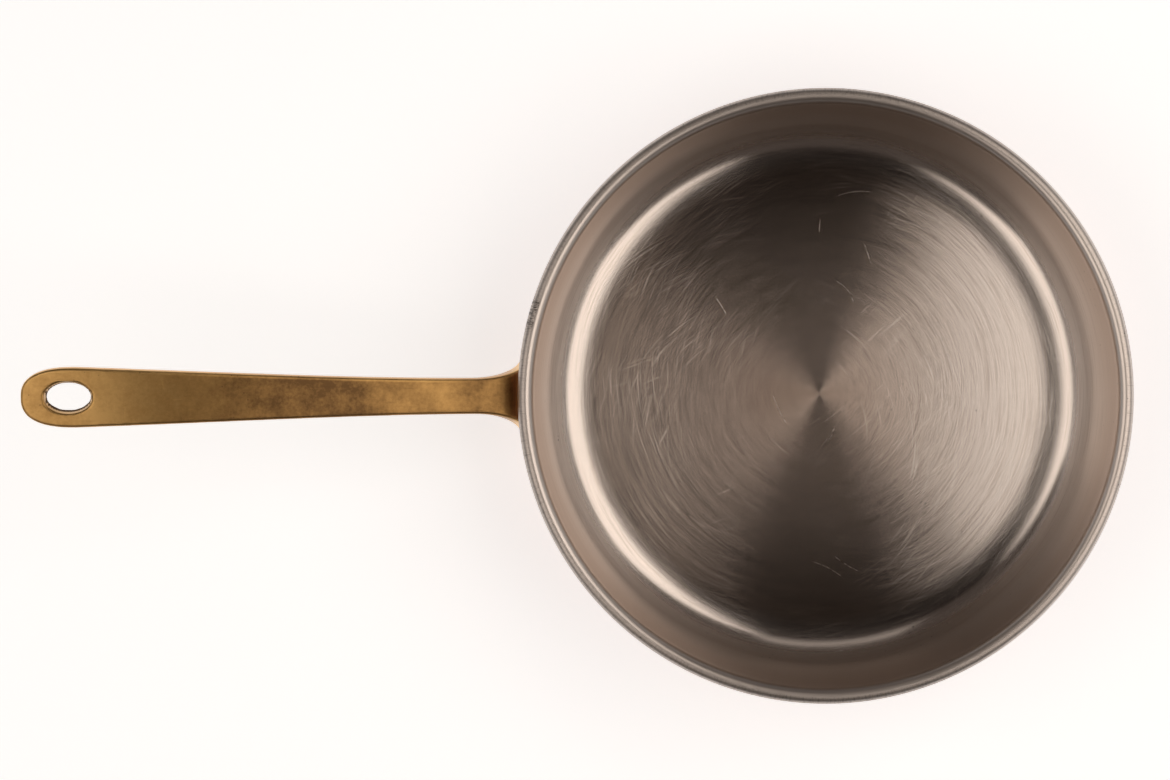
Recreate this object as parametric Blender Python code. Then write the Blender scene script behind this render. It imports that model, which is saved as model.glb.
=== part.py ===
"""Copper saucepan, 24 cm, with a stainless steel lining and a cast brass handle.

The pan is two cups, one inside the other. The copper shell takes the handle's three rivets, whose
inner heads are countersunk flush. The steel lining is pressed in over them, and its lip is rolled
over the copper's beaded edge. Every piece is modelled where it sits in the finished pan.

Frame: +Z up, the origin at the centre of the underside, the handle along -X. Lengths are in metres.
"""

import math

import bmesh
import bpy
import numpy
from mathutils import Matrix, Vector

MM = 0.001

# ---- driving dimensions ----
RIM_DIAMETER = 240.0 * MM  # over the rolled lip
PAN_HEIGHT = 70.0 * MM  # underside to the top of the lip
WALL_TAPER = math.radians(6.5)  # how far the wall leans out
BASE_FILLET = 12.5 * MM  # inside radius between floor and wall
COPPER_THICKNESS = 2.0 * MM
STEEL_THICKNESS = 0.6 * MM
CLEARANCE = 0.3 * MM  # kept between neighbouring pieces

LIP_INNER_WIDTH = 3.2 * MM  # ridge of the lip to its inner side
LIP_OUTER_WIDTH = 3.0 * MM  # ridge of the lip to its outer side
LIP_CREASE = math.radians(10.0)  # how far the bead turns back under itself above the wall
LIP_CURL = math.radians(75.0)  # how far the steel is rolled below the bead's outermost point

HANDLE_OVERHANG = 191.8 * MM  # rim to the handle's tip, seen from above
HANDLE_RISE = 44.0 * MM  # tip above root
HANDLE_ROOT_DROP = 21.0 * MM  # centre of the root below the rim
HANDLE_ROOT_ANGLE = math.radians(25.0)
HANDLE_TIP_ANGLE = math.radians(-4.0)
HANDLE_ROOT_PULL = 62.0 * MM  # how long the side curve keeps the root's angle
HANDLE_TIP_PULL = 66.0 * MM  # how long it keeps the tip's angle
HANDLE_ROLL = math.radians(6.0)  # the grip is set a little off level
HANDLE_ROLL_LENGTH = 40.0 * MM  # over which the roll comes in
HANDLE_THICKNESS = 5.5 * MM
HANDLE_ROOT_THICKNESS = 9.0 * MM
HANDLE_SWELL_LENGTH = 30.0 * MM  # over which the root thins to the grip
HANDLE_EDGE = 1.6 * MM  # rounding of the long edges
GRIP_WIDTH = 23.3 * MM  # across the hanging eye
GRIP_FULLNESS = 19.8 * MM  # width the taper is drawn towards on its way to the neck
NECK_WIDTH = 14.0 * MM
END_LENGTH = 21.0 * MM  # length of the rounded end
END_SQUARENESS = 2.55  # exponent of the rounded end's curve
FLARE_LENGTH = 22.0 * MM
FLARE_SPREAD = 8.2 * MM  # added to each side of the neck where it meets the flange

EYE_LENGTH = 16.8 * MM  # clear opening at its narrow, lower side
EYE_WIDTH = 10.4 * MM
EYE_DRAFT = 1.0 * MM  # each side wider at the top face
EYE_FROM_TIP = 18.2 * MM

FLANGE_THICKNESS = 2.4 * MM
FLANGE_BORDER = 7.5 * MM  # rivet centre to the flange's edge
UPPER_RIVET_MARGIN = 1.6 * MM  # between an upper rivet's head and the handle's flare
UPPER_RIVET_DROP = 18.5 * MM  # rivets' centres below the rim
LOWER_RIVET_DROP = 37.0 * MM
SHANK_RADIUS = 2.4 * MM
HEAD_RADIUS = 4.2 * MM
HEAD_HEIGHT = 1.3 * MM
SUNK_HEAD_RADIUS = 4.4 * MM
SUNK_HEAD_RECESS = 0.1 * MM  # sunk head's flat end below the copper's inner face
SUNK_HEAD_TAPER = 1.0 * MM  # height of the sunk head's cone

# ---- facets ----
PAN_SEGMENTS = 72
FILLET_STEPS = 5
LIP_STEPS = 4
CURL_STEPS = 5
RIVET_SEGMENTS = 16
DOME_STEPS = 3
EYE_SEGMENTS = 28
END_STEPS = 8
TAPER_STEPS = 7
FLARE_STEPS = 6
SLICE_LENGTH = 9.0 * MM
PATH_SAMPLES = 200

# ---- dependent dimensions ----
RIM_RADIUS = RIM_DIAMETER / 2
FLOOR_HEIGHT = COPPER_THICKNESS + CLEARANCE + STEEL_THICKNESS
HANDLE_REACH = RIM_RADIUS + HANDLE_OVERHANG
HANDLE_ROOT_HEIGHT = PAN_HEIGHT - HANDLE_ROOT_DROP
UPPER_RIVET_HEIGHT = PAN_HEIGHT - UPPER_RIVET_DROP
LOWER_RIVET_HEIGHT = PAN_HEIGHT - LOWER_RIVET_DROP
RIDGE_RADIUS = RIM_RADIUS - LIP_OUTER_WIDTH
BEAD_CENTRE = (RIDGE_RADIUS, PAN_HEIGHT - LIP_OUTER_WIDTH)  # of the lip's outer side
CREASE_RADIUS = RIDGE_RADIUS - LIP_INNER_WIDTH * math.cos(LIP_CREASE)
CREASE_HEIGHT = PAN_HEIGHT - LIP_INNER_WIDTH * (1 + math.sin(LIP_CREASE))
SHELL_INSIDE = STEEL_THICKNESS + CLEARANCE  # from the pan's inner face to the copper's
SHELL_OUTSIDE = SHELL_INSIDE + COPPER_THICKNESS
FILLET_TOP = FLOOR_HEIGHT + BASE_FILLET * (1 - math.sin(WALL_TAPER))
FLOOR_RADIUS = (
    CREASE_RADIUS
    - (CREASE_HEIGHT - FILLET_TOP) * math.tan(WALL_TAPER)
    - BASE_FILLET * math.cos(WALL_TAPER)
)


def wall_radius(height, offset):
    """Radius of the face that lies this far outside the pan's inner face, at a height on the wall."""
    inner = CREASE_RADIUS - (CREASE_HEIGHT - height) * math.tan(WALL_TAPER)
    return inner + offset / math.cos(WALL_TAPER)


FLANGE_OUTSIDE = SHELL_OUTSIDE + CLEARANCE + FLANGE_THICKNESS
HEAD_SEAT = CLEARANCE + FLANGE_THICKNESS + CLEARANCE  # copper's outer face to a domed head
SUNK_HEAD_DEPTH = COPPER_THICKNESS - SUNK_HEAD_RECESS  # copper's outer face to the sunk head's end
FLARE_HALF_WIDTH = NECK_WIDTH / 2 + FLARE_SPREAD
UPPER_RIVET_SIDE = FLARE_HALF_WIDTH + UPPER_RIVET_MARGIN + HEAD_RADIUS
HANDLE_START = wall_radius(HANDLE_ROOT_HEIGHT, 0.0)  # inside the wall, trimmed off later
FLANGE_FACE = wall_radius(HANDLE_ROOT_HEIGHT, FLANGE_OUTSIDE)


# ---- helpers ----
def arc(centre, radius, start, end, steps):
    """Points on an arc in a radius and height plane, both ends included."""
    turns = numpy.linspace(start, end, steps + 1)
    return [(centre[0] + radius * math.cos(a), centre[1] + radius * math.sin(a)) for a in turns]


def make_material(name, colour, roughness):
    material = bpy.data.materials.new(name)
    material.use_nodes = True
    shader = material.node_tree.nodes["Principled BSDF"]
    shader.inputs["Base Color"].default_value = (*colour, 1.0)
    shader.inputs["Roughness"].default_value = roughness
    shader.inputs["Metallic"].default_value = 1.0
    return material


def make_object(name, bm, material=None):
    bmesh.ops.recalc_face_normals(bm, faces=bm.faces)
    mesh = bpy.data.meshes.new(name)
    bm.to_mesh(mesh)
    bm.free()
    mesh.shade_smooth()
    mesh.set_sharp_from_angle(angle=math.radians(35))
    made = bpy.data.objects.new(name, mesh)
    bpy.context.scene.collection.objects.link(made)
    if material:
        mesh.materials.append(material)
    else:
        made.hide_render = True  # a cutter or a guide
        made.display_type = "WIRE"
    return made


def boolean(target, operation, cutter):
    step = target.modifiers.new(cutter.name, "BOOLEAN")
    step.operation = operation
    step.solver = "EXACT"
    step.object = cutter


def turned(points, segments):
    """A profile of (radius, height) points, closed along the axis, turned about Z into one body."""
    bm = bmesh.new()
    verts = [bm.verts.new((radius, 0.0, height)) for radius, height in points]
    edges = [bm.edges.new(pair) for pair in zip(verts, verts[1:])]
    bmesh.ops.spin(
        bm,
        geom=verts + edges,
        axis=(0, 0, 1),
        cent=(0, 0, 0),
        angle=2 * math.pi,
        steps=segments,
        use_merge=True,
    )
    bmesh.ops.remove_doubles(bm, verts=bm.verts, dist=0.01 * MM)
    return bm


# ---- the pan's own line ----
def cup_line(offset):
    """The pan's inner face moved outwards by offset: from the axis to the foot of the wall."""
    centre = (FLOOR_RADIUS, FLOOR_HEIGHT + BASE_FILLET)
    fillet = arc(centre, BASE_FILLET + offset, -math.pi / 2, -WALL_TAPER, FILLET_STEPS)
    return [(0.0, FLOOR_HEIGHT - offset), *fillet]


def lip_line(offset, curl):
    """The lip's face moved inwards by offset: over the ridge, then down the outer side by curl."""
    centre = (RIDGE_RADIUS, PAN_HEIGHT - LIP_INNER_WIDTH)
    crease = math.pi + LIP_CREASE
    inner = arc(centre, LIP_INNER_WIDTH - offset, crease, math.pi / 2, LIP_STEPS)
    outer = arc(BEAD_CENTRE, LIP_OUTER_WIDTH - offset, math.pi / 2, -curl, CURL_STEPS)
    return [*inner, *outer[1:]]


def steel_lining(material):
    outside = cup_line(STEEL_THICKNESS)[::-1]
    over = lip_line(0.0, LIP_CURL)
    under = lip_line(STEEL_THICKNESS, LIP_CURL)[::-1]
    bm = turned([*cup_line(0.0), *over, *under, *outside], PAN_SEGMENTS)
    return make_object("steel_lining", bm, material)


def copper_shell(material):
    """The copper cup. Its edge is a solid bead, which runs round under until it meets the wall."""
    overhang = (BEAD_CENTRE[0] - wall_radius(BEAD_CENTRE[1], SHELL_OUTSIDE)) * math.cos(WALL_TAPER)
    foot = math.acos(overhang / (LIP_OUTER_WIDTH - SHELL_INSIDE))
    under = arc(BEAD_CENTRE, LIP_OUTER_WIDTH - SHELL_INSIDE, -LIP_CURL, foot - math.pi - WALL_TAPER, 1)
    bead = [*lip_line(SHELL_INSIDE, LIP_CURL), *under[1:]]
    outside = cup_line(SHELL_OUTSIDE)[::-1]
    bm = turned([*cup_line(SHELL_INSIDE), *bead, *outside], PAN_SEGMENTS)
    return make_object("copper_shell", bm, material)


# ---- rivets, about Z, with zero at the copper's outer face ----
def rivet_body():
    """Sunk head, shank and domed head."""
    dome_radius = (HEAD_RADIUS**2 + HEAD_HEIGHT**2) / (2 * HEAD_HEIGHT)
    centre = (0.0, HEAD_SEAT + HEAD_HEIGHT - dome_radius)
    edge = math.asin((HEAD_SEAT - centre[1]) / dome_radius)
    dome = arc(centre, dome_radius, edge, math.pi / 2, DOME_STEPS)
    profile = [
        (0.0, -SUNK_HEAD_DEPTH),
        (SUNK_HEAD_RADIUS, -SUNK_HEAD_DEPTH),
        (SHANK_RADIUS, SUNK_HEAD_TAPER - SUNK_HEAD_DEPTH),
        (SHANK_RADIUS, HEAD_SEAT),
        *dome,
    ]
    return turned(profile, RIVET_SEGMENTS)


def rivet_hole():
    """What is cut from the copper and the flange: the rivet's own shape with the clearance round it."""
    slant = math.hypot(SUNK_HEAD_RADIUS - SHANK_RADIUS, SUNK_HEAD_TAPER)
    wider = CLEARANCE * slant / SUNK_HEAD_TAPER  # keeps the clearance square to the sunk head's cone
    shank = SHANK_RADIUS + CLEARANCE
    mouth = SUNK_HEAD_RADIUS + wider
    slope = (SUNK_HEAD_RADIUS - SHANK_RADIUS) / SUNK_HEAD_TAPER
    profile = [
        (0.0, -2 * SUNK_HEAD_DEPTH),
        (mouth, -2 * SUNK_HEAD_DEPTH),
        (mouth, -SUNK_HEAD_DEPTH),
        (shank, (mouth - shank) / slope - SUNK_HEAD_DEPTH),
        (shank, 2 * HEAD_SEAT),
        (0.0, 2 * HEAD_SEAT),
    ]
    return turned(profile, RIVET_SEGMENTS)


def rivet_place(side, height):
    """Where a rivet's axis crosses the copper's outer face, and how it stands on the wall."""
    radius = wall_radius(height, SHELL_OUTSIDE)
    bearing = math.pi - math.asin(side / radius)
    turn = Matrix.Rotation(bearing, 4, "Z")
    tilt = Matrix.Rotation(math.pi / 2 + WALL_TAPER, 4, "Y")
    point = turn @ Vector((radius, 0.0, height))
    return Matrix.Translation(point) @ turn @ tilt


# ---- handle ----
def side_curve():
    """The handle's centre line in the XZ plane: reach, height and arc length, finely sampled."""
    start = numpy.array((HANDLE_START, HANDLE_ROOT_HEIGHT))
    end = numpy.array((HANDLE_REACH, HANDLE_ROOT_HEIGHT + HANDLE_RISE))
    leave = start + HANDLE_ROOT_PULL * numpy.array((math.cos(HANDLE_ROOT_ANGLE), math.sin(HANDLE_ROOT_ANGLE)))
    arrive = end - HANDLE_TIP_PULL * numpy.array((math.cos(HANDLE_TIP_ANGLE), math.sin(HANDLE_TIP_ANGLE)))
    t = numpy.linspace(0.0, 1.0, PATH_SAMPLES + 1)[:, None]
    line = (1 - t) ** 3 * start + 3 * t * (1 - t) ** 2 * leave + 3 * t**2 * (1 - t) * arrive + t**3 * end
    steps = numpy.linalg.norm(numpy.diff(line, axis=0), axis=1)
    return line, numpy.concatenate(([0.0], numpy.cumsum(steps)))


SIDE_LINE, SIDE_LENGTHS = side_curve()
HANDLE_LENGTH = float(SIDE_LENGTHS[-1])
FLARE_END = float(numpy.interp(FLANGE_FACE, SIDE_LINE[:, 0], SIDE_LENGTHS))
FLARE_START = FLARE_END + FLARE_LENGTH
TAPER_END = HANDLE_LENGTH - END_LENGTH


def side_frame(length):
    """Point and slope of the handle's centre line at a length from its start."""
    reach = float(numpy.interp(length, SIDE_LENGTHS, SIDE_LINE[:, 0]))
    height = float(numpy.interp(length, SIDE_LENGTHS, SIDE_LINE[:, 1]))
    near = numpy.clip(numpy.searchsorted(SIDE_LENGTHS, length), 1, PATH_SAMPLES)
    rise = SIDE_LINE[near] - SIDE_LINE[near - 1]
    return reach, height, math.atan2(rise[1], rise[0])


def ease(value):
    value = min(max(value, 0.0), 1.0)
    return value * value * (3 - 2 * value)


def half_outline():
    """(length, half width) from the root to the tip: flare, taper and rounded end."""
    points = [(0.0, FLARE_HALF_WIDTH)]
    for turn in numpy.linspace(0.0, math.pi / 2, FLARE_STEPS + 1):
        along = FLARE_START - FLARE_LENGTH * math.cos(turn)
        points.append((along, FLARE_HALF_WIDTH - FLARE_SPREAD * math.sin(turn)))
    for t in numpy.linspace(0.0, 1.0, TAPER_STEPS + 1)[1:]:
        along = FLARE_START + (TAPER_END - FLARE_START) * t
        neck = ((1 - t) ** 3 + 3 * t * (1 - t) ** 2) * NECK_WIDTH
        grip = 3 * t**2 * (1 - t) * GRIP_FULLNESS + t**3 * GRIP_WIDTH
        points.append((along, (neck + grip) / 2))
    for turn in numpy.linspace(0.0, math.pi / 2, END_STEPS + 1)[1:]:
        along = TAPER_END + END_LENGTH * math.sin(turn) ** (2 / END_SQUARENESS)
        points.append((along, GRIP_WIDTH / 2 * max(math.cos(turn), 0.0) ** (2 / END_SQUARENESS)))
    return points


def bent(along, across, up):
    """Carries a point of the flat handle blank to its place on the bent, rolled handle."""
    reach, height, slope = side_frame(along)
    swell = 1 - ease((along - FLARE_END) / HANDLE_SWELL_LENGTH)
    up *= 1 + (HANDLE_ROOT_THICKNESS / HANDLE_THICKNESS - 1) * swell
    roll = HANDLE_ROLL * ease((along - FLARE_END) / HANDLE_ROLL_LENGTH)
    side = across * math.cos(roll) - up * math.sin(roll)
    lift = across * math.sin(roll) + up * math.cos(roll)
    return Vector((-(reach - lift * math.sin(slope)), side, height + lift * math.cos(slope)))


def handle_bar():
    """A flat blank with rounded edges, sliced across, then bent to the side curve."""
    bm = bmesh.new()
    half = half_outline()
    loop = half + [(along, -across) for along, across in half[-2::-1]]
    verts = [bm.verts.new((along, across, -HANDLE_THICKNESS / 2)) for along, across in loop]
    face = bm.faces.new(verts)
    raised = bmesh.ops.extrude_face_region(bm, geom=[face])
    top = [v for v in raised["geom"] if isinstance(v, bmesh.types.BMVert)]
    bmesh.ops.translate(bm, verts=top, vec=(0, 0, HANDLE_THICKNESS))
    rims = [e for e in bm.edges if abs(e.verts[0].co.z - e.verts[1].co.z) < MM / 100]
    bmesh.ops.bevel(
        bm,
        geom=rims,
        offset=HANDLE_EDGE,
        offset_type="OFFSET",
        segments=2,
        profile=0.5,
        affect="EDGES",
        clamp_overlap=True,
        material=-1,
    )
    for along in numpy.arange(SLICE_LENGTH, HANDLE_LENGTH, SLICE_LENGTH):
        everything = [*bm.verts, *bm.edges, *bm.faces]
        bmesh.ops.bisect_plane(bm, geom=everything, plane_co=(along, 0, 0), plane_no=(1, 0, 0))
    for vert in bm.verts:
        vert.co = bent(*vert.co)
    return bm


def eye_cutter():
    """Oval plug through the grip, wider at the top face by the casting's draft."""
    bm = bmesh.new()
    bmesh.ops.create_cone(
        bm,
        cap_ends=True,
        segments=EYE_SEGMENTS,
        radius1=1.0,
        radius2=1.0,
        depth=3 * HANDLE_THICKNESS,
    )
    for vert in bm.verts:
        grow = EYE_DRAFT * (0.5 + vert.co.z / HANDLE_THICKNESS)
        vert.co.x *= EYE_LENGTH / 2 + grow
        vert.co.y *= EYE_WIDTH / 2 + grow
    reach, height, slope = side_frame(HANDLE_LENGTH - EYE_FROM_TIP)
    place = Matrix.Translation((-reach, 0.0, height))
    turn = Matrix.Rotation(slope, 4, "Y") @ Matrix.Rotation(HANDLE_ROLL, 4, "X")
    bmesh.ops.transform(bm, matrix=place @ turn, verts=bm.verts)
    return make_object("eye_cutter", bm)


def flange_outline(places):
    """A plug along X around the three rivets, rounded by the flange's border at each."""
    bm = bmesh.new()
    depth = RIM_RADIUS / 2
    for place in places:
        lobe = Matrix.Translation((-RIM_RADIUS, place.translation.y, place.translation.z))
        bmesh.ops.create_cone(
            bm,
            cap_ends=True,
            segments=2 * RIVET_SEGMENTS,
            radius1=FLANGE_BORDER,
            radius2=FLANGE_BORDER,
            depth=depth,
            matrix=lobe @ Matrix.Rotation(math.pi / 2, 4, "Y"),
        )
    hull = bmesh.ops.convex_hull(bm, input=bm.verts, use_existing_faces=False)
    spare = {v for v in hull["geom_interior"] + hull["geom_unused"] if isinstance(v, bmesh.types.BMVert)}
    bmesh.ops.delete(bm, geom=list(spare), context="VERTS")
    bmesh.ops.dissolve_limit(bm, angle_limit=math.radians(1), verts=bm.verts, edges=bm.edges)
    return bm


def wall_plug(name, offset):
    """A solid that fills the pan out to the face offset from its inner face, over the wall's height."""
    low = LOWER_RIVET_HEIGHT - 2 * FLANGE_BORDER
    high = UPPER_RIVET_HEIGHT + 2 * FLANGE_BORDER
    profile = [
        (0.0, low),
        (wall_radius(low, offset), low),
        (wall_radius(high, offset), high),
        (0.0, high),
    ]
    return make_object(name, turned(profile, PAN_SEGMENTS))


def brass_handle(material, places, holes):
    flange = make_object("flange_plate", flange_outline(places))
    boolean(flange, "INTERSECT", wall_plug("flange_face", FLANGE_OUTSIDE))
    handle = make_object("brass_handle", handle_bar(), material)
    boolean(handle, "UNION", flange)
    boolean(handle, "DIFFERENCE", wall_plug("wall_seat", SHELL_OUTSIDE + CLEARANCE))
    boolean(handle, "DIFFERENCE", eye_cutter())
    for hole in holes:
        boolean(handle, "DIFFERENCE", hole)
    return handle


def build():
    for old in list(bpy.data.objects):
        bpy.data.objects.remove(old, do_unlink=True)
    copper = make_material("copper", (0.72, 0.40, 0.30), 0.3)
    steel = make_material("steel", (0.56, 0.51, 0.47), 0.35)
    brass = make_material("brass", (0.55, 0.37, 0.17), 0.45)

    rivets = {
        "rivet_left": rivet_place(-UPPER_RIVET_SIDE, UPPER_RIVET_HEIGHT),
        "rivet_right": rivet_place(UPPER_RIVET_SIDE, UPPER_RIVET_HEIGHT),
        "rivet_lower": rivet_place(0.0, LOWER_RIVET_HEIGHT),
    }
    shell = copper_shell(copper)
    steel_lining(steel)
    holes = []
    for name, place in rivets.items():
        make_object(name, rivet_body(), copper).matrix_world = place
        hole = make_object(name + "_hole", rivet_hole())
        hole.matrix_world = place
        boolean(shell, "DIFFERENCE", hole)
        holes.append(hole)
    brass_handle(brass, list(rivets.values()), holes)


build()
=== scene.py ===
import math

import bmesh
import bpy
import numpy as np
from mathutils import Matrix, Vector


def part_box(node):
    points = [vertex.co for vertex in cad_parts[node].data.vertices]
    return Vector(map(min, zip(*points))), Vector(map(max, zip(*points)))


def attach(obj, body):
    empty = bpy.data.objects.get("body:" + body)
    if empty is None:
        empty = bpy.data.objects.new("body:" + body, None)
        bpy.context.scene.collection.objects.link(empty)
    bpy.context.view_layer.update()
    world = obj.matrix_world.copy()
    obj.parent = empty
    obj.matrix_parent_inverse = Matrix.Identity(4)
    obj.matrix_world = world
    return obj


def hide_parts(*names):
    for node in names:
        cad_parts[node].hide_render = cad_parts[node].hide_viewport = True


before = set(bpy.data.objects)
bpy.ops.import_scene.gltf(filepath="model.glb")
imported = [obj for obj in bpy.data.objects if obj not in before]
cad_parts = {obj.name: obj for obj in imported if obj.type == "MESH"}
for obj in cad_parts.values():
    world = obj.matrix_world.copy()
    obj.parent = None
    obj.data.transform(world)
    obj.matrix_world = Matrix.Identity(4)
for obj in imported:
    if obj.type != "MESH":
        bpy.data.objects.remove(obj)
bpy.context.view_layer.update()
mm = 0.001

# the pan's section: the lip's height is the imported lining's, and the rest is set here
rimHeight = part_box("steel_lining")[1][2]
rimRadius = 120.0 * mm
wall = {
    "taper": math.radians(6.5),
    "fillet": 12.5 * mm,
    "steel": 0.6 * mm,
    "gap": 0.3 * mm,
    "copper": 2.0 * mm,
    "innerLip": 3.2 * mm,
    "outerLip": 3.0 * mm,
    "crease": math.radians(10),
}
floorHeight = wall["copper"] + wall["gap"] + wall["steel"]
ridgeRadius = rimRadius - wall["outerLip"]
creaseRadius = ridgeRadius - wall["innerLip"] * math.cos(wall["crease"])
creaseHeight = rimHeight - wall["innerLip"] * (1 + math.sin(wall["crease"]))
filletTop = floorHeight + wall["fillet"] * (1 - math.sin(wall["taper"]))
filletRun = wall["fillet"] * math.cos(wall["taper"])
floorRadius = creaseRadius - (creaseHeight - filletTop) * math.tan(wall["taper"]) - filletRun
copperOut = wall["steel"] + wall["gap"] + wall["copper"]


def wallRadius(height, offset):
    # radius of the wall's inner face, moved outwards by offset
    inner = creaseRadius - (creaseHeight - height) * math.tan(wall["taper"])
    return inner + offset / math.cos(wall["taper"])


def arc(centre, across, up, start, end, steps, power=1.0):
    # points of an ellipse; a power over 1 flattens its shoulders towards a chamfer
    points = []
    for turn in np.linspace(start, end, steps + 1):
        side, rise = math.cos(turn), math.sin(turn)
        side = math.copysign(abs(side) ** power, side)
        rise = math.copysign(abs(rise) ** power, rise)
        points.append((centre[0] + across * side, centre[1] + up * rise))
    return points


def spinProfile(points, steps):
    bm = bmesh.new()
    verts = [bm.verts.new((radius, 0, height)) for radius, height in points]
    edges = [bm.edges.new(pair) for pair in zip(verts, verts[1:])]
    bmesh.ops.spin(bm, geom=verts + edges, axis=(0, 0, 1), cent=(0, 0, 0), angle=2 * math.pi, steps=steps,
                   use_merge=True)
    bmesh.ops.remove_doubles(bm, verts=bm.verts, dist=0.004 * mm)
    bmesh.ops.recalc_face_normals(bm, faces=bm.faces)
    return bm


def addCylinder(bm, radius, depth, segments, place):
    bmesh.ops.create_cone(bm, cap_ends=True, segments=segments, radius1=radius, radius2=radius, depth=depth,
                          matrix=place)


def makePiece(name, bm, materials, sharp=40):
    mesh = bpy.data.meshes.new(name)
    bm.to_mesh(mesh)
    bm.free()
    mesh.shade_smooth()
    mesh.set_sharp_from_angle(angle=math.radians(sharp))
    for material in materials:
        mesh.materials.append(material)
    piece = bpy.data.objects.new(name, mesh)
    bpy.context.scene.collection.objects.link(piece)
    return piece


def cut(piece, operation, cutter):
    step = piece.modifiers.new(cutter.name, "BOOLEAN")
    step.operation = operation
    step.solver = "EXACT"
    step.object = cutter


def settle(piece, cutters):
    # the modifiers' result becomes the piece's own mesh, and the cutters go
    graph = bpy.context.evaluated_depsgraph_get()
    mesh = bpy.data.meshes.new_from_object(piece.evaluated_get(graph))
    piece.modifiers.clear()
    old = piece.data
    piece.data = mesh
    mesh.name = old.name
    bpy.data.meshes.remove(old)
    for cutter in cutters:
        bpy.data.objects.remove(cutter, do_unlink=True)


class Wire:
    # one socket of a material, which Python's own signs can add, subtract, scale and divide
    def __init__(self, tree, socket=None):
        self.tree = tree
        self.socket = socket

    def node(self, kind, settings=None, inputs=None, out=0):
        made = self.tree.nodes.new("ShaderNode" + kind)
        for name, value in (settings or {}).items():
            if name == "stops":
                setStops(made.color_ramp, value)
            else:
                setattr(made, name, value)
        for name, value in (inputs or {}).items():
            if isinstance(value, Wire):
                self.tree.links.new(value.socket, made.inputs[name])
            else:
                made.inputs[name].default_value = value
        return Wire(self.tree, made.outputs[out])

    def calc(self, operation, *values):
        return self.node("Math", {"operation": operation}, dict(enumerate(values)))

    def __add__(self, other):
        return self.calc("ADD", self, other)

    def __sub__(self, other):
        return self.calc("SUBTRACT", self, other)

    def __rsub__(self, other):
        return self.calc("SUBTRACT", other, self)

    def __mul__(self, other):
        return self.calc("MULTIPLY", self, other)

    def __truediv__(self, other):
        return self.calc("DIVIDE", self, other)

    __radd__ = __add__
    __rmul__ = __mul__

    def root(self):
        return self.calc("SQRT", self)

    def size(self):
        return self.calc("ABSOLUTE", self)

    def parts(self):
        # the x, y and z of a vector
        split = self.node("SeparateXYZ", None, {0: self}).socket.node
        return [Wire(self.tree, socket) for socket in split.outputs]

    def fade(self, low, high):
        # a smooth step from 0 at low to 1 at high
        inputs = {"Value": self, "From Min": low, "From Max": high}
        return self.node("MapRange", {"interpolation_type": "SMOOTHSTEP"}, inputs)

    def blend(self, first, second):
        # colour first where this is 0, second where it is 1
        inputs = {0: self, 6: first, 7: second}
        return self.node("Mix", {"data_type": "RGBA"}, inputs, 2)

    def noise(self, scale, detail=2.0, roughness=0.5):
        inputs = {"Vector": self, "Scale": scale, "Detail": detail, "Roughness": roughness}
        return self.node("TexNoise", None, inputs)

    def dots(self, scale, edge, core):
        # round spots, fading from their edge to their core
        return self.node("TexVoronoi", None, {"Vector": self, "Scale": scale}).fade(edge, core)

    def bump(self, strength, depth):
        return self.node("Bump", None, {"Strength": strength, "Distance": depth, "Height": self})


def setStops(ramp, stops):
    while len(ramp.elements) < len(stops):
        ramp.elements.new(0.5)
    for element, (place, tone) in zip(ramp.elements, stops):
        element.position = place
        element.color = (*tone, 1)


def join(x, y, z):
    return x.node("CombineXYZ", None, {0: x, 1: y, 2: z})


def highest(first, *others):
    for other in others:
        first = first.calc("MAXIMUM", first, other)
    return first


def colour(red, green, blue):
    return (red, green, blue, 1.0)


def newMaterial(name, settings):
    # settings are the shader's own values, the same all over the surface
    material = bpy.data.materials.new(name)
    material.use_nodes = True
    shader = material.node_tree.nodes["Principled BSDF"]
    for socket, value in settings.items():
        shader.inputs[socket].default_value = value
    return material, shader, Wire(material.node_tree)


def feed(shader, **wires):
    names = {"base": "Base Color", "rough": "Roughness", "normal": "Normal"}
    for name, wire in wires.items():
        wire.tree.links.new(wire.socket, shader.inputs[names[name]])


def aroundAxis(x, y):
    # distance from the pan's axis, and the two cosines of the direction
    reach = (x * x + y * y).root()
    return reach, x / reach, y / reach


def fromCentre(x, y, centre):
    # the way from a centre given in millimetres: its two parts and its length
    aside = x - centre[0] * mm
    ahead = y - centre[1] * mm
    return aside, ahead, (aside * aside + ahead * ahead).root()


def arcScratches(x, y, z, centre, pitch, length, low, high):
    # fine curved lines struck around a centre off the pan's axis, sizes in millimetres, and none close to it
    aside, ahead, away = fromCentre(x, y, centre)
    lines = join(aside / (length * mm), ahead / (length * mm), (away + z) / (pitch * mm)).noise(1.0, 1.0)
    return lines.fade(low, high) * away.fade(24 * mm, 50 * mm)


def straightScratches(x, y, turn, pitch, length, low, high):
    # hairlines in one direction
    run = x * math.cos(turn) + y * math.sin(turn)
    across = y * math.cos(turn) - x * math.sin(turn)
    return join(run / length, across / pitch, turn).noise(1.0, 0.0).fade(low, high)


def stroke(x, y, centre, radius, middle, half, width):
    # one scratch, a short arc that thins out at both ends and at its sides
    aside, ahead, away = fromCentre(x, y, centre)
    off = (away - radius * mm).size()
    turn = math.radians(middle)
    along = aside * math.cos(turn) + ahead * math.sin(turn)
    reach = radius * math.cos(half / radius)
    full = reach * 0.4 + radius * 0.6
    return off.fade(width * mm, width * 0.2 * mm) * along.fade(reach * mm, full * mm)


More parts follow.
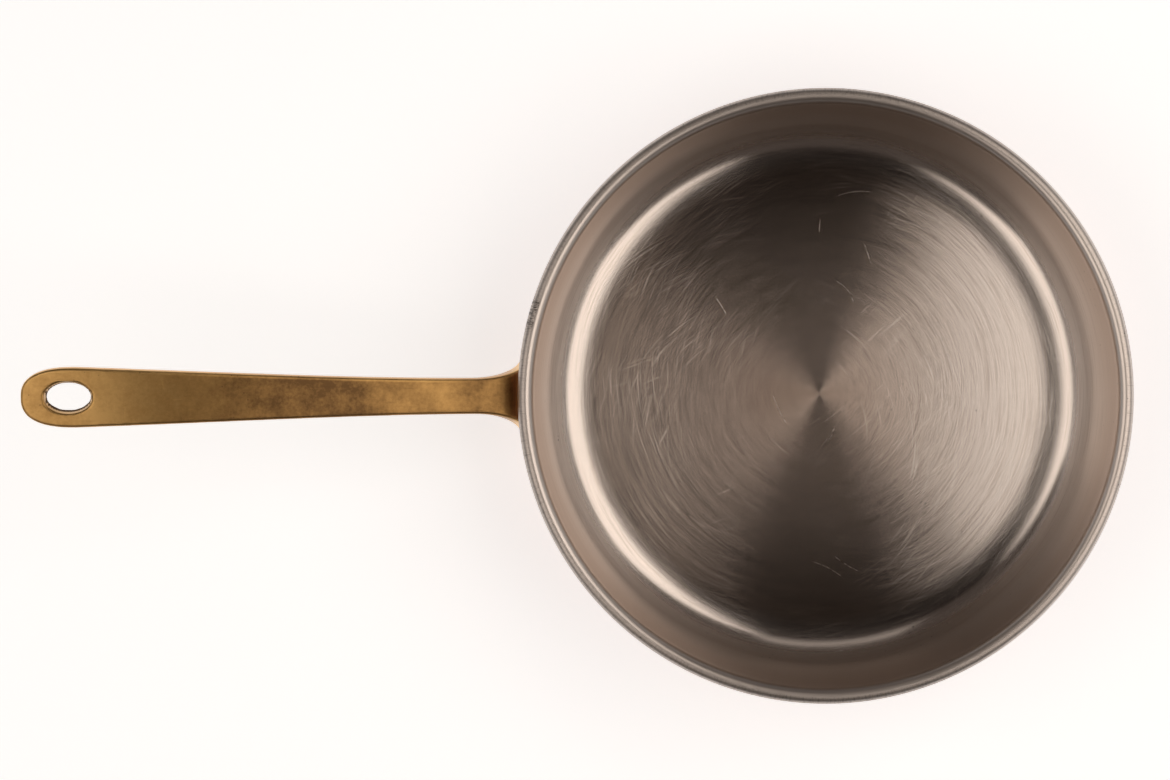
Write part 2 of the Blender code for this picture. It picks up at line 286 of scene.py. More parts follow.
steelLook = {
    "pale": colour(0.76, 0.675, 0.615),
    "stainShadeTone": colour(0.62, 0.50, 0.42),
    "bare": colour(0.93, 0.86, 0.80),
    "line": colour(0.50, 0.41, 0.35),
    "paintedShade": colour(0.26, 0.185, 0.14),
    "speck": colour(0.10, 0.08, 0.07),
    "lipGrimeAndShade": colour(0.27, 0.235, 0.215),
    "lipPit": colour(0.05, 0.045, 0.04),
    "anisotropic": 0.95,
    "rough": 0.125,
    "wallRough": 0.24,
    "lipRough": 0.33,
    "crossedRough": 0.38,
    # scouring marks: arc centre, spacing and length in millimetres, noise that starts and fills a line
    "scours": [
        ((16, 10), 0.60, 22, 0.58, 0.76),
        ((-22, -18), 0.60, 22, 0.58, 0.76),
        ((150, -120), 0.65, 16, 0.64, 0.78),
        ((-120, 160), 0.65, 16, 0.64, 0.78),
    ],
    # single scratches: arc centre and radius, middle direction in degrees, half length and half width
    "scratches": [
        ((17, 55), 26, 98, 8.5, 0.15),
        ((60, 62), 60, 176, 3.4, 0.14),
        ((-30, 40), 52, 18, 4.5, 0.12),
        ((2, 34), 12, 40, 7.0, 0.12),
        ((30, -38), 36, 238, 6.5, 0.14),
        ((-12, -100), 34, 62, 8.0, 0.16),
        ((-80, 10), 48, 30, 6.0, 0.11),
        ((40, 20), 62, 205, 7.0, 0.11),
    ],
}


def steelMaterial():
    settings = {"Metallic": 1.0, "Anisotropic": steelLook["anisotropic"], "Anisotropic Rotation": 0.25}
    material, shader, start = newMaterial("brushedSteel", settings)
    tangent = start.node("Tangent", {"direction_type": "RADIAL", "axis": "Z"})
    start.tree.links.new(tangent.socket, shader.inputs["Tangent"])
    place = start.node("TexCoord", out="Object")
    x, y, z = place.parts()
    reach, side, ahead = aroundAxis(x, y)
    bowl = z.fade(4.2 * mm, 8 * mm)  # 0 on the flat floor, 1 on the fillet and wall
    onFloor = 1 - bowl
    # lines turned round the axis, a fine set and a broad one
    drift = place.noise(26.0, 2.0) * 2.0 * mm * onFloor
    level = reach + z + drift
    fine = join(side * 4.0, ahead * 4.0, level * 1300).noise(1.0, 2.0, 0.65)
    broad = join(side * 1.2, ahead * 1.2, level * 330).noise(1.0, 2.0, 0.6)
    # scouring in patches, and single scratches that break up along their length
    patches = place.noise(34.0, 2.0).fade(0.30, 0.70)
    swirls = highest(*[arcScratches(x, y, z, *scour) for scour in steelLook["scours"]]) * patches * onFloor
    strokes = highest(*[stroke(x, y, *scratch) for scratch in steelLook["scratches"]])
    strokes = strokes * onFloor * place.noise(420.0, 2.0).fade(0.34, 0.50)
    specks = place.dots(230.0, 0.13, 0.05) * place.noise(55.0, 1.0).fade(0.54, 0.64)
    # stains on the wall; painted shade darkens the handle's half of the floor
    cloud = place.noise(11.0, 3.0)
    stainShadeAmount = cloud.fade(0.45, 0.75) * bowl * 0.5 + broad.fade(0.5, 0.8) * bowl * 0.3
    stainShadeAmount = stainShadeAmount + x.fade(80 * mm, 0.0) * reach.fade(96 * mm, 88 * mm) * (0.6 + cloud * 0.6)
    base = stainShadeAmount.blend(steelLook["pale"], steelLook["stainShadeTone"])
    upper = z.fade(22 * mm, 58 * mm)
    base = ((1 - upper) * bowl * 0.35).blend(base, steelLook["bare"])
    base = (upper * 0.55).blend(base, steelLook["stainShadeTone"])
    # painted shade: the bowl darker towards the two sides across the handle's line, where it faces the dark
    # room
    base = (ahead * ahead * bowl * 0.55).blend(base, steelLook["paintedShade"])
    base = (specks * 0.55).blend(base, steelLook["speck"])
    streaks = (fine - 0.5) * 1.3 + (broad - 0.5) * 0.9 + (0.5 - patches) * swirls * 0.3
    base = (streaks.fade(0.05, -0.35) * 0.4).blend(base, steelLook["line"])
    base = highest(swirls * 0.35, strokes * 0.5).blend(base, steelLook["bare"])
    # the middle of the floor is rougher; painted shade darkens it, most along the line of the handle, and
    # the handle's side of the floor
    near = reach.fade(58 * mm, 4 * mm) * onFloor
    centreShade = near * 0.38 + reach.fade(66 * mm, 22 * mm) * x.fade(30 * mm, -20 * mm) * onFloor * 0.38
    base = (centreShade * (side * side * 0.9 + 0.1)).blend(base, steelLook["paintedShade"])
    rough = steelLook["rough"] + fine * 0.06 + broad * 0.03 + (cloud - 0.5) * 0.04
    rough = rough + swirls * 0.05 + strokes * 0.12 + bowl * steelLook["wallRough"] + near * 0.06
    bump = (fine * 0.95 + broad * 0.45 - swirls * 0.12 - strokes * 0.3).bump(0.34, 0.05 * mm)
    feed(shader, base=base, rough=rough, normal=bump)
    # near the axis the marks cross every way, so the direction fades
    plain = start.node(
        "BsdfPrincipled", {"distribution": "MULTI_GGX"},
        {"Base Color": base, "Metallic": 1.0, "Roughness": steelLook["crossedRough"], "Normal": bump},
    )
    crossing = reach.fade(94 * mm, 12 * mm) * 0.21 * onFloor + 0.01 + swirls * 0.015 + strokes * 0.08
    mixed = start.node("MixShader", None, {0: crossing, 1: Wire(start.tree, shader.outputs[0]), 2: plain})
    output = start.tree.nodes["Material Output"]
    start.tree.links.new(mixed.socket, output.inputs["Surface"])
    return material


def lipMaterial():
    material, shader, start = newMaterial("wornLipSteel", {"Metallic": 1.0})
    place = start.node("TexCoord", out="Object")
    x, y, z = place.parts()
    reach, side, ahead = aroundAxis(x, y)
    outer = reach.fade(ridgeRadius - 0.1 * mm, ridgeRadius + 0.4 * mm)
    grain = join(side * 150, ahead * 150, reach * 500).noise(1.0, 3.0, 0.65)
    mottle = grain.fade(0.45, 0.7)
    nicks = join(side * 240, ahead * 240, reach * 110).noise(1.0, 1.5).fade(0.58, 0.74) * outer
    worn = place.noise(22.0, 2.0).fade(0.35, 0.65)
    pits = place.dots(430.0, 0.17, 0.06) * place.noise(120.0, 1.0).fade(0.50, 0.60) * outer
    # a scuffed stretch a little past the handle
    scuff = (side + 0.962).size().fade(0.020, 0.006) * ahead.fade(0.0, 0.1)
    gouges = join(side * 420, ahead * 420, reach * 520).noise(1.0, 1.5).fade(0.47, 0.56) * scuff * outer
    # grime and nicks outside the ridge, darker low on its curl; painted shade darkens the outer band on the
    # handle's side and the whole lip to both sides of the handle's line
    facing = ahead * ahead
    grimeAndShade = highest(
        outer * (side.fade(0.6, -0.2) * 0.40 + nicks * 0.30 + mottle * 0.20),
        outer * facing * (0.55 + mottle * 0.3),
        facing * facing * 0.55,
        outer * z.fade(rimHeight - 0.7 * mm, rimHeight - 2.0 * mm) * 0.55,
    )
    base = grimeAndShade.blend(steelLook["pale"], steelLook["lipGrimeAndShade"])
    base = highest(pits * 0.75, gouges * 0.9).blend(base, steelLook["lipPit"])
    rough = steelLook["lipRough"] + outer * 0.06 + nicks * 0.08 + worn * 0.04 + gouges * 0.15
    bump = (grain * 0.35 * outer - nicks * 0.35 - pits * 0.9 - gouges * 0.9).bump(0.35, 0.08 * mm)
    feed(shader, base=base, rough=rough, normal=bump)
    return material


lining = {
    "steps": 256,
    "dome": 1.3 * mm,  # rise of the floor's middle
    "ease": 9.5 * mm,  # where the floor starts to turn up, before its edge
    "easeTurn": math.radians(13),
    "easeSteps": 8,
    "floorRings": 16,
    "filletSteps": 14,
    "wallRings": 10,
    "lipSteps": 12,
    "innerPower": 1.15,
    "outerPower": 0.90,
    "curl": math.radians(75),
    "curlSteps": 6,
    "lipDepth": 4.0 * mm,
}


def easyRun(start, startSlope, end, endSlope, steps):
    # points between two places of a profile, leaving and arriving at the given slopes
    run = end[0] - start[0]
    points = []
    for t in np.linspace(0, 1, steps + 1)[1:-1]:
        height = (2 * t**3 - 3 * t**2 + 1) * start[1] + (3 * t**2 - 2 * t**3) * end[1]
        height += (t**3 - 2 * t**2 + t) * run * startSlope + (t**3 - t**2) * run * endSlope
        points.append((start[0] + run * t, height))
    return points


def liningProfile(offset):
    # inner face moved outwards by offset, from the axis to the crease
    radius = wall["fillet"] + offset
    centre = (floorRadius, floorHeight + wall["fillet"])
    turnStart = lining["easeTurn"]
    bend = arc(centre, radius, radius, turnStart - math.pi / 2, -wall["taper"], lining["filletSteps"])
    flatEnd = 1 - lining["ease"] / floorRadius
    edge = floorHeight - offset
    dome = 0.0
    slope = 0.0
    if offset == 0:
        # the upper side is domed, and its slope turns up evenly into the fillet
        dome = lining["dome"]
        slope = -2 * dome * flatEnd / floorRadius
        run = bend[0][0] - floorRadius * flatEnd
        edge = bend[0][1] - run * (slope + (math.tan(turnStart) - slope) / 3)
    points = []
    for share in np.linspace(0, flatEnd, lining["floorRings"]):
        points.append((floorRadius * share, edge + dome * (flatEnd**2 - share**2)))
    points += easyRun(points[-1], slope, bend[0], math.tan(turnStart), lining["easeSteps"])
    points += bend
    foot = points[-1][1]
    for height in np.linspace(foot, creaseHeight, lining["wallRings"], endpoint=False)[1:]:
        points.append((wallRadius(height, offset), height))
    return points


def lipProfile(offset):
    inner, outer = wall["innerLip"] - offset, wall["outerLip"] - offset
    innerCentre = (ridgeRadius, rimHeight - wall["innerLip"])
    outerCentre = (ridgeRadius, rimHeight - wall["outerLip"])
    innerStart = math.pi + wall["crease"]
    steps = lining["lipSteps"]
    over = arc(innerCentre, inner, inner, innerStart, math.pi / 2, steps, lining["innerPower"])
    over += arc(outerCentre, outer, outer, math.pi / 2, 0, steps, lining["outerPower"])[1:]
    over += arc(outerCentre, outer, outer, 0, -lining["curl"], lining["curlSteps"])[1:]
    return over


def steelLining():
    print("steel lining")
    upper = [*liningProfile(0.0), *lipProfile(0.0)]
    under = [*liningProfile(wall["steel"]), *lipProfile(wall["steel"])]
    bm = spinProfile(upper + under[::-1], lining["steps"])
    piece = makePiece("steel_lining_fine", bm, [steelMaterial(), lipMaterial()], 50)
    for face in piece.data.polygons:
        reach = math.hypot(face.center[0], face.center[1])
        if reach > creaseRadius + 0.1 * mm and face.center[2] > creaseHeight - lining["lipDepth"]:
            face.material_index = 1
    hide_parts("steel_lining")
    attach(piece, "root")


copperLook = {
    "polished": colour(0.68, 0.33, 0.215),
    "tarnished": colour(0.32, 0.14, 0.085),
    "rough": 0.22,
    "beadSteps": 16,
}


def copperMaterial():
    material, shader, start = newMaterial("wornCopper", {"Metallic": 1.0})
    place = start.node("TexCoord", out="Object")
    x, y, z = place.parts()
    reach, side, ahead = aroundAxis(x, y)
    spun = join(side * 1.6, ahead * 1.6, (reach + z) * 1500).noise(1.0, 3.0, 0.6)
    cloud = place.noise(14.0, 4.0, 0.6)
    under = z.fade(14 * mm, 1 * mm)
    tarnish = cloud.fade(0.35, 0.75) * 0.55 + under * 0.5 * cloud.fade(0.2, 0.6)
    base = tarnish.blend(copperLook["polished"], copperLook["tarnished"])
    hairs = straightScratches(x + y, z, 0.25, 0.6 * mm, 30 * mm, 0.70, 0.76)
    rough = copperLook["rough"] + tarnish * 0.16 + spun * 0.08 + hairs * 0.2
    bump = (spun * 0.6 - hairs * 0.8).bump(0.12, 0.05 * mm)
    feed(shader, base=base, rough=rough, normal=bump)
    return material


def copperShell(material):
    print("copper shell")
    inset = wall["steel"] + wall["gap"]
    inner, bead = wall["innerLip"] - inset, wall["outerLip"] - inset
    innerCentre = (ridgeRadius, rimHeight - wall["innerLip"])
    beadCentre = (ridgeRadius, rimHeight - wall["outerLip"])
    # the bead turns until it meets the wall's outer face
    overhang = (ridgeRadius - wallRadius(beadCentre[1], copperOut)) * math.cos(wall["taper"])
    foot = math.acos(overhang / bead) - math.pi - wall["taper"]
    over = arc(innerCentre, inner, inner, math.pi + wall["crease"], math.pi / 2, lining["lipSteps"])
    over += arc(beadCentre, bead, bead, math.pi / 2, foot, copperLook["beadSteps"])[1:]
    outside = [point for point in liningProfile(copperOut)[::-1] if point[1] < over[-1][1]]
    bm = spinProfile([*liningProfile(inset), *over, *outside], lining["steps"])
    piece = makePiece("copper_shell_fine", bm, [material], 50)
    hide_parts("copper_shell")
    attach(piece, "root")


handle = {
    "overhang": 190.8 * mm,
    "rise": 44.0 * mm,
    "rootDrop": 21.0 * mm,
    "rootAngle": math.radians(25),
    "tipAngle": math.radians(-4),
    "rootPull": 62.0 * mm,
    "tipPull": 66.0 * mm,
    "roll": math.radians(6),
    "rollLength": 40.0 * mm,
    "thickness": 5.5 * mm,
    "rootThickness": 9.0 * mm,
    "swell": 30.0 * mm,
    "edge": 1.9 * mm,
    "grip": 23.3 * mm,
    "fullness": 19.8 * mm,
    "neck": 14.0 * mm,
    "end": 21.0 * mm,
    "squareness": 2.55,
    "flareLength": 22.0 * mm,
    "flareSpread": 8.2 * mm,
    "eyeLength": 16.8 * mm,
    "eyeWidth": 10.4 * mm,
    "eyeDraft": 1.1 * mm,
    "eyeFromTip": 18.2 * mm,
    "flange": 2.4 * mm,
    "flangeBorder": 7.5 * mm,
    "plugLow": 56.0 * mm,  # depths below the rim of the cones that cut the flange's two faces
    "plugHigh": 3.0 * mm,
    "plugSteps": 360,
    "slice": 2.0 * mm,  # the bar is cut this often, so that it bends smoothly
    "voxel": 0.5 * mm,
}
flangeOut = copperOut + wall["gap"] + handle["flange"]
flareHalf = handle["neck"] / 2 + handle["flareSpread"]


def sideCurve():
    # the bar's middle line from the side, and how far along it each point lies
    start = np.array((wallRadius(rimHeight - handle["rootDrop"], 0.0), rimHeight - handle["rootDrop"]))
    end = np.array((rimRadius + handle["overhang"], start[1] + handle["rise"]))
    rootTurn, tipTurn = handle["rootAngle"], handle["tipAngle"]
    leave = start + handle["rootPull"] * np.array((math.cos(rootTurn), math.sin(rootTurn)))
    arrive = end - handle["tipPull"] * np.array((math.cos(tipTurn), math.sin(tipTurn)))
    t = np.linspace(0, 1, 401)[:, None]
    line = (1 - t) ** 3 * start + 3 * t * (1 - t) ** 2 * leave + 3 * t**2 * (1 - t) * arrive + t**3 * end
    return line, np.concatenate(([0.0], np.cumsum(np.linalg.norm(np.diff(line, axis=0), axis=1))))


sideLine, sideLengths = sideCurve()
handleLength = float(sideLengths[-1])
flangeFaceRadius = wallRadius(rimHeight - handle["rootDrop"], flangeOut)
flareEnd = float(np.interp(flangeFaceRadius, sideLine[:, 0], sideLengths))
taperStart = flareEnd + handle["flareLength"]
taperEnd = handleLength - handle["end"]


def sideFrame(along):
    reach = float(np.interp(along, sideLengths, sideLine[:, 0]))
    height = float(np.interp(along, sideLengths, sideLine[:, 1]))
    near = int(np.clip(np.searchsorted(sideLengths, along), 1, len(sideLengths) - 1))
    rise = sideLine[near] - sideLine[near - 1]
    return reach, height, math.atan2(rise[1], rise[0])


def halfOutline():
    # length and half width: flare, taper and rounded end
    points = [(0.0, flareHalf)]
    for turn in np.linspace(0, math.pi / 2, 15):
        points.append((taperStart - handle["flareLength"] * math.cos(turn),
                       flareHalf - handle["flareSpread"] * math.sin(turn)))
    for t in np.linspace(0, 1, 25)[1:]:
        neck = ((1 - t) ** 3 + 3 * t * (1 - t) ** 2) * handle["neck"]
        grip = 3 * t**2 * (1 - t) * handle["fullness"] + t**3 * handle["grip"]
        points.append((taperStart + (taperEnd - taperStart) * t, (neck + grip) / 2))
    power = 2 / handle["squareness"]
    for turn in np.linspace(0, math.pi / 2, 25)[1:]:
        width = handle["grip"] / 2 * max(math.cos(turn), 0.0) ** power
        points.append((taperEnd + handle["end"] * math.sin(turn) ** power, width))
    return points


def ease(value):
    value = min(max(value, 0.0), 1.0)
    return value * value * (3 - 2 * value)


def bent(along, across, up):
    # a point of the straight bar, brought to its place on the curve and rolled
    reach, height, slope = sideFrame(along)
    swell = 1 - ease((along - flareEnd) / handle["swell"])
    up *= 1 + (handle["rootThickness"] / handle["thickness"] - 1) * swell
    roll = handle["roll"] * ease((along - flareEnd) / handle["rollLength"])
    side = across * math.cos(roll) - up * math.sin(roll)
    lift = across * math.sin(roll) + up * math.cos(roll)
    return Vector((-(reach - lift * math.sin(slope)), side, height + lift * math.cos(slope)))


def handleBar():
    bm = bmesh.new()
    half = halfOutline()
    loop = half + [(along, -across) for along, across in half[-2::-1]]
    face = bm.faces.new([bm.verts.new((along, across, -handle["thickness"] / 2)) for along, across in loop])
    raised = bmesh.ops.extrude_face_region(bm, geom=[face])["geom"]
    top = [v for v in raised if isinstance(v, bmesh.types.BMVert)]
    bmesh.ops.translate(bm, verts=top, vec=(0, 0, handle["thickness"]))
    rims = [e for e in bm.edges if abs(e.verts[0].co.z - e.verts[1].co.z) < 0.01 * mm]
    bmesh.ops.bevel(bm, geom=rims, offset=handle["edge"], offset_type="OFFSET", segments=4, profile=0.5,
                    affect="EDGES", clamp_overlap=True, material=-1)
    for along in np.arange(handle["slice"], handleLength, handle["slice"]):
        everything = [*bm.verts, *bm.edges, *bm.faces]
        bmesh.ops.bisect_plane(bm, geom=everything, plane_co=(along, 0, 0), plane_no=(1, 0, 0))
    for vert in bm.verts:
        vert.co = bent(*vert.co)
    bmesh.ops.recalc_face_normals(bm, faces=bm.faces)
    return bm


rivet = {
    "shank": 2.4 * mm,
    "head": 4.2 * mm,
    "dome": 1.3 * mm,
    "domeEdge": 0.15 * mm,
    "sunk": 4.4 * mm,
    "recess": 0.1 * mm,
    "cone": 1.0 * mm,
    "upperDrop": 18.5 * mm,
    "lowerDrop": 37.0 * mm,
    "margin": 1.6 * mm,
    "holeDepth": 14.0 * mm,
    "steps": 48,
}
rivetSide = flareHalf + rivet["margin"] + rivet["head"]


def rivetPlace(side, height):
    # a frame on the copper's outer face, its z straight out of the wall
    radius = wallRadius(height, copperOut)
    turn = Matrix.Rotation(math.pi - math.asin(side / radius), 4, "Z")
    tilt = Matrix.Rotation(math.pi / 2 + wall["taper"], 4, "Y")
    return Matrix.Translation(turn @ Vector((radius, 0, height))) @ turn @ tilt


rivetPlaces = {
    "rivet_left": rivetPlace(-rivetSide, rimHeight - rivet["upperDrop"]),
    "rivet_right": rivetPlace(rivetSide, rimHeight - rivet["upperDrop"]),
    "rivet_lower": rivetPlace(0.0, rimHeight - rivet["lowerDrop"]),
}


def rivetShape():
    seat = handle["flange"] + 2 * wall["gap"]
    low = rivet["recess"] - wall["copper"]
    points = [(0, low), (rivet["sunk"], low), (rivet["shank"], low + rivet["cone"]), (rivet["shank"], seat)]
    radius = (rivet["head"] ** 2 + rivet["dome"] ** 2) / (2 * rivet["dome"])
    centre = (0.0, seat + rivet["dome"] - radius)
    start = math.asin((seat - centre[1]) / radius)
    dome = arc(centre, radius, radius, start, math.pi / 2, 10)
    dome[0] = (rivet["head"] - rivet["domeEdge"], seat)
    dome.insert(1, (rivet["head"], seat + rivet["domeEdge"]))
    return spinProfile([*points, *[point for point in dome if point[1] >= seat]], rivet["steps"])


def copperRivets(material):
    print("rivets")
    for name, place in rivetPlaces.items():
        bm = rivetShape()
        bmesh.ops.transform(bm, matrix=place, verts=bm.verts)
        piece = makePiece(name + "_fine", bm, [material])
        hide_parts(name)
        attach(piece, "root")


def rivetHoles():
    plugs = []
    for name, place in rivetPlaces.items():
        bm = bmesh.new()
        addCylinder(bm, rivet["shank"] + wall["gap"], rivet["holeDepth"], 32, place)
        plugs.append(makePiece(name + "Plug", bm, []))
    return plugs


def flangePlate():
    # a block around the three rivets, later cut to the wall's curve on both faces
    bm = bmesh.new()
    lying = Matrix.Rotation(math.pi / 2, 4, "Y")
    for place in rivetPlaces.values():
        spot = Matrix.Translation((-rimRadius, place.translation.y, place.translation.z))
        addCylinder(bm, handle["flangeBorder"], rimRadius / 2, 64, spot @ lying)
    hull = bmesh.ops.convex_hull(bm, input=bm.verts, use_existing_faces=False)
    spare = {v for v in hull["geom_interior"] + hull["geom_unused"] if isinstance(v, bmesh.types.BMVert)}
    bmesh.ops.delete(bm, geom=list(spare), context="VERTS")
    bmesh.ops.dissolve_limit(bm, angle_limit=math.radians(1), verts=bm.verts, edges=bm.edges)
    bmesh.ops.recalc_face_normals(bm, faces=bm.faces)
    return makePiece("flangePlate", bm, [])


def wallPlug(name, offset):
    # a solid cone of the pan's own taper, from below the flange to just under the lip
    low, high = rimHeight - handle["plugLow"], rimHeight - handle["plugHigh"]
    points = [(0, low), (wallRadius(low, offset), low), (wallRadius(high, offset), high), (0, high)]
    return makePiece(name, spinProfile(points, handle["plugSteps"]), [])


def eyePlug():
    bm = bmesh.new()
    addCylinder(bm, 1, 3 * handle["thickness"], 64, Matrix.Identity(4))
    for vert in bm.verts:
        grow = handle["eyeDraft"] * (0.5 + vert.co.z / handle["thickness"])
        vert.co.x *= handle["eyeLength"] / 2 + grow
        vert.co.y *= handle["eyeWidth"] / 2 + grow
    reach, height, slope = sideFrame(handleLength - handle["eyeFromTip"])
    turn = Matrix.Rotation(slope, 4, "Y") @ Matrix.Rotation(handle["roll"], 4, "X")
    bmesh.ops.transform(bm, matrix=Matrix.Translation((-reach, 0, height)) @ turn, verts=bm.verts)
    return makePiece("eyePlug", bm, [])


brass = {
    # how dark the handle is at shares of its length, from the wall to the tip: patina, with painted shade
    # and painted light standing in for what its slope reflects
    "patinaAndShade": [
        (0.0, 0.0), (0.035, 0.05), (0.06, 0.62), (0.13, 0.78), (0.20, 0.50), (0.29, 0.62), (0.38, 0.92),
        (0.53, 0.95), (0.62, 0.62), (0.70, 0.48), (0.77, 0.26), (0.84, 0.05), (0.862, 0.03), (0.874, 0.22),
    ],
    # its colours from bright to dark
    "tones": [
        (0.0, (0.60, 0.36, 0.13)),
        (0.4, (0.44, 0.25, 0.085)),
        (0.75, (0.27, 0.149, 0.053)),
        (1.0, (0.14, 0.075, 0.030)),
    ],
    "rubbedLow": colour(0.45, 0.26, 0.11),
    "rubbedAndHighlit": colour(0.86, 0.53, 0.26),
    # the neck's colour is painted light, lightening it where the rim shades it
    "neck": colour(0.98, 0.66, 0.33),
    "eyeWallShade": colour(0.10, 0.055, 0.025),
    "eyeMargin": 0.35 * mm,
    "pit": colour(0.10, 0.05, 0.03),
    "rough": 0.25,
}


def brassMaterial():
    material, shader, start = newMaterial("patinatedBrass", {"Metallic": 1.0})
    place = start.node("TexCoord", out="Object")
    bar = start.node("Attribute", {"attribute_name": "bar"}, None, "Vector")
    along, across, edge = bar.parts()
    mottle = place.noise(110.0, 5.0, 0.66)
    cloud = place.noise(24.0, 3.0, 0.55)
    grain = place.noise(700.0, 2.0, 0.6)
    run = along / handleLength
    stops = [(at, (tone, tone, tone)) for at, tone in brass["patinaAndShade"]]
    patinaAndShade = run.node("ValToRGB", {"stops": stops}, {0: run})
    upper = across.fade(0.0, 3 * mm)
    # painted highlight: a lighter band just inside the raised side's edge
    shoulderHighlight = edge.fade(0.0, 0.3) * upper * run.fade(0.12, 0.30)
    dull = patinaAndShade + (cloud - 0.5) * 0.40 + (mottle - 0.5) * 0.85 + (grain - 0.5) * 0.40 - shoulderHighlight * 0.35
    base = dull.node("ValToRGB", {"stops": brass["tones"]}, {0: dull})
    # the edges are rubbed bright, and the raised side's edge is lighter still as a painted highlight
    rubbed = edge.fade(0.35, 0.9) * (0.4 + mottle * 0.6)
    base = (rubbed * 0.8).blend(base, upper.blend(brass["rubbedLow"], brass["rubbedAndHighlit"]))
    # painted shade: the walls of the eye are darkened
    eyeRun = (along - (handleLength - handle["eyeFromTip"])) / (handle["eyeLength"] / 2 + brass["eyeMargin"])
    eyeSpan = across / (handle["eyeWidth"] / 2 + brass["eyeMargin"])
    inEye = (eyeRun * eyeRun + eyeSpan * eyeSpan).fade(1.12, 1.0)
    base = (inEye * 0.9).blend(base, brass["eyeWallShade"])
    # painted light: the neck by the wall is lightened where the rim shades it
    base = (run.fade(0.070, 0.035) * 0.9).blend(base, brass["neck"])
    pits = place.dots(330.0, 0.14, 0.05) * cloud.fade(0.5, 0.62)
    base = (pits * 0.8).blend(base, brass["pit"])
    hairs = join(along * 60, across * 1500, 0.0).noise(1.0, 1.0).fade(0.62, 0.74)
    crossing = join(along * 1100, across * 90, 3.0).noise(1.0, 1.0).fade(0.66, 0.76)
    rough = brass["rough"] + mottle * 0.16 + hairs * 0.08 + inEye * 0.5
    bump = (mottle * 0.7 - hairs * 0.35 - crossing * 0.25 - pits * 0.9).bump(0.35, 0.10 * mm)
    feed(shader, base=base, rough=rough, normal=bump)
    return material


def barCoordinates(piece):
    # for each vertex: how far along the handle, how far across it, and how near its rounded edges
    mesh = piece.data
    points = np.empty(len(mesh.vertices) * 3, np.float32)
    mesh.vertices.foreach_get("co", points)
    points = points.reshape(-1, 3)
    flat = np.stack([-points[:, 0], points[:, 2]], axis=1)
    samples = sideLine[::2]
    near = np.empty(len(flat), np.int64)
    batch = 20000  # keeps the table of distances small
    for first in range(0, len(flat), batch):
        ways = flat[first:first + batch, None, :] - samples[None]
        near[first:first + batch] = np.argmin((ways**2).sum(axis=2), axis=1)
    along = sideLengths[::2][near]
    outline = np.array(halfOutline())
    inward = np.interp(along, outline[:, 0], outline[:, 1]) - np.abs(points[:, 1])
    edge = np.clip(1 - inward / handle["edge"], 0, 1) * (inward > -0.5 * mm)
    values = np.stack([along, points[:, 1], edge], axis=1).astype(np.float32)
    attribute = mesh.attributes.new("bar", "FLOAT_VECTOR", "POINT")
    attribute.data.foreach_set("vector", values.ravel())


def brassHandle(material):
    print("brass handle")
    flange = flangePlate()
    face = wallPlug("flangeFace", flangeOut)
    cut(flange, "INTERSECT", face)
    piece = makePiece("brass_handle_fine", handleBar(), [material])
    seat = wallPlug("wallSeat", copperOut + wall["gap"])
    eye = eyePlug()
    holes = rivetHoles()
    cut(piece, "UNION", flange)
    for cutter in (seat, eye, *holes):
        cut(piece, "DIFFERENCE", cutter)
    remesh = piece.modifiers.new("even", "REMESH")
    remesh.mode = "VOXEL"
    remesh.voxel_size = handle["voxel"]
    soften = piece.modifiers.new("soften", "SMOOTH")
    soften.factor = 0.5
    soften.iterations = 4
    settle(piece, [flange, face, seat, eye, *holes])
    piece.data.shade_smooth()
    barCoordinates(piece)
    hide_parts("brass_handle")
    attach(piece, "root")
    print("handle vertices", len(piece.data.vertices))


studio = {
    "floor": colour(0.90, 0.90, 0.90),
    "floorDrift": colour(0.88, 0.88, 0.88),
    "floorSize": 4.0,
    "glow": 0.62,
    "horizon": colour(0.40, 0.40, 0.40),
    "low": colour(0.07, 0.058, 0.052),
    "zenith": colour(0.009, 0.007, 0.006),
    "warm": (1.0, 0.925, 0.855),
    "lampDistance": 1.4,
    # azimuth round the pan and lean from straight up in degrees, size and radiance
    "softboxes": {
        "softboxRight": (2, 31, (1.5, 1.05), 1.25),
        "softboxStrip": (3, 12, (0.55, 0.12), 1.0),
        "softboxLeft": (194, 31, (1.1, 0.95), 1.15),
        "softboxFill": (90, 40, (0.6, 0.5), 0.30),
    },
    "eyeHeight": 2.25,  # camera above the rim
    "frameWidth": 455.0 * mm,  # seen at the rim
    "aimAlong": -93.75 * mm,
    "aimAcross": 2.4 * mm,
    "lean": 32.0 * mm,
}


def studioFloor():
    print("floor")
    bm = bmesh.new()
    bmesh.ops.create_grid(bm, x_segments=8, y_segments=8, size=studio["floorSize"])
    settings = {"Roughness": 0.6, "Emission Strength": studio["glow"], "Emission Color": colour(1, 1, 1)}
    material, shader, start = newMaterial("paleFloor", settings)
    place = start.node("TexCoord", out="Object")
    feed(shader, base=place.noise(3.0, 2.0).blend(studio["floor"], studio["floorDrift"]))
    floor = makePiece("studio_floor", bm, [material])


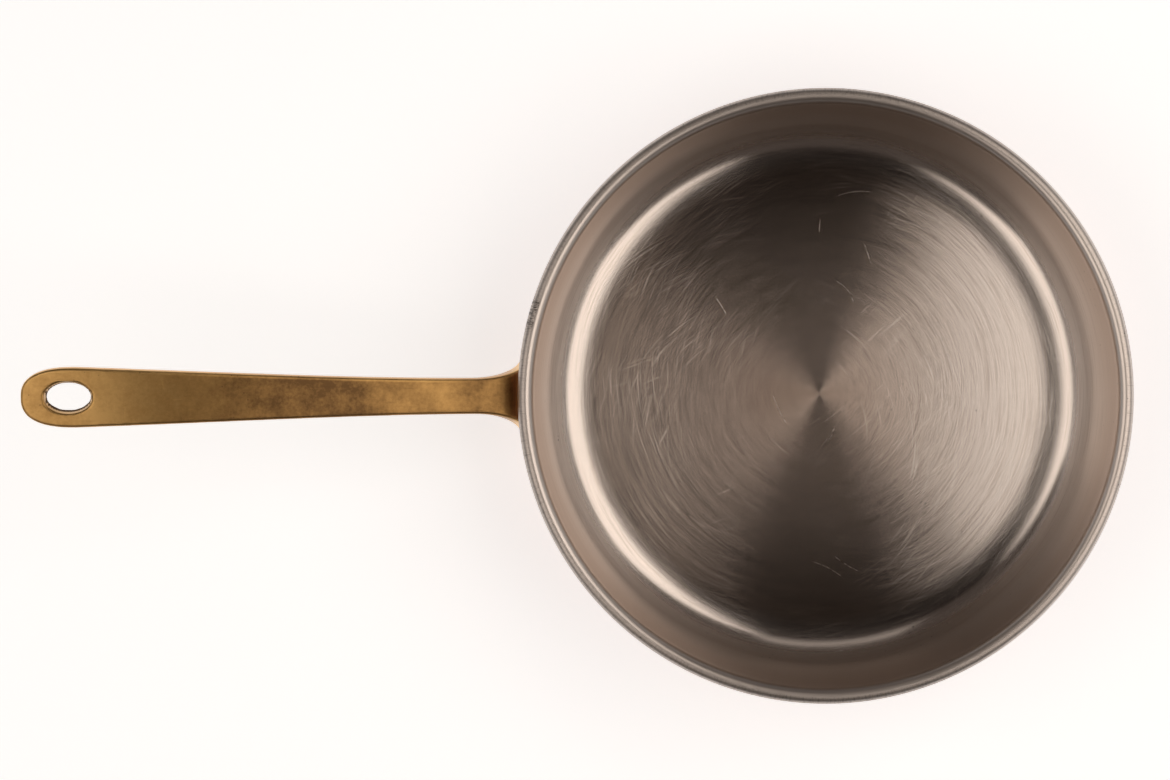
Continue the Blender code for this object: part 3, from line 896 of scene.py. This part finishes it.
def addSoftbox(name, azimuth, lean, size, radiance):
    turn, tip = math.radians(azimuth), math.radians(lean)
    way = Vector((math.sin(tip) * math.cos(turn), math.sin(tip) * math.sin(turn), math.cos(tip)))
    place = way * studio["lampDistance"]
    data = bpy.data.lights.new(name, "AREA")
    data.shape = "RECTANGLE"
    data.size, data.size_y = size
    data.energy = radiance * math.pi * size[0] * size[1]
    data.color = studio["warm"]
    lamp = bpy.data.objects.new(name, data)
    bpy.context.scene.collection.objects.link(lamp)
    away = place.normalized()
    across = Vector((-math.sin(turn), math.cos(turn), 0))
    facing = Matrix((across, away.cross(across), away)).transposed().to_4x4()
    lamp.matrix_world = Matrix.Translation(place) @ facing
    lamp.visible_camera = False


def studioLight():
    print("light")
    for name, settings in studio["softboxes"].items():
        addSoftbox(name, *settings)
    world = bpy.data.worlds.new("studioRoom")
    bpy.context.scene.world = world
    world.use_nodes = True
    x, _, height = Wire(world.node_tree).node("TexCoord", out="Generated").parts()
    rise = height - x * x * 0.35
    tone = rise.fade(0.04, 0.24).blend(studio["horizon"], studio["low"])
    tone = height.fade(0.82, 0.95).blend(tone, studio["zenith"])
    back = world.node_tree.nodes["Background"]
    world.node_tree.links.new(tone.socket, back.inputs["Color"])


def studioCamera():
    print("camera")
    data = bpy.data.cameras.new("fromAbove")
    data.sensor_fit = "HORIZONTAL"
    data.sensor_width = 36.0
    data.lens = data.sensor_width * studio["eyeHeight"] / studio["frameWidth"]
    camera = bpy.data.objects.new("fromAbove", data)
    bpy.context.scene.collection.objects.link(camera)
    aim = Vector((studio["aimAlong"], studio["aimAcross"], rimHeight))
    place = aim + Vector((0, studio["lean"], studio["eyeHeight"]))
    ahead = (aim - place).normalized()
    right = Vector((1, 0, 0))
    up = right.cross(ahead)
    turn = Matrix((right, up, -ahead)).transposed().to_4x4()
    camera.matrix_world = Matrix.Translation(place) @ turn
    bpy.context.scene.camera = camera
    bpy.context.scene.view_settings.view_transform = "Standard"


copper = copperMaterial()
steelLining()
copperShell(copper)
copperRivets(copper)
brassHandle(brassMaterial())
studioFloor()
studioLight()
studioCamera()
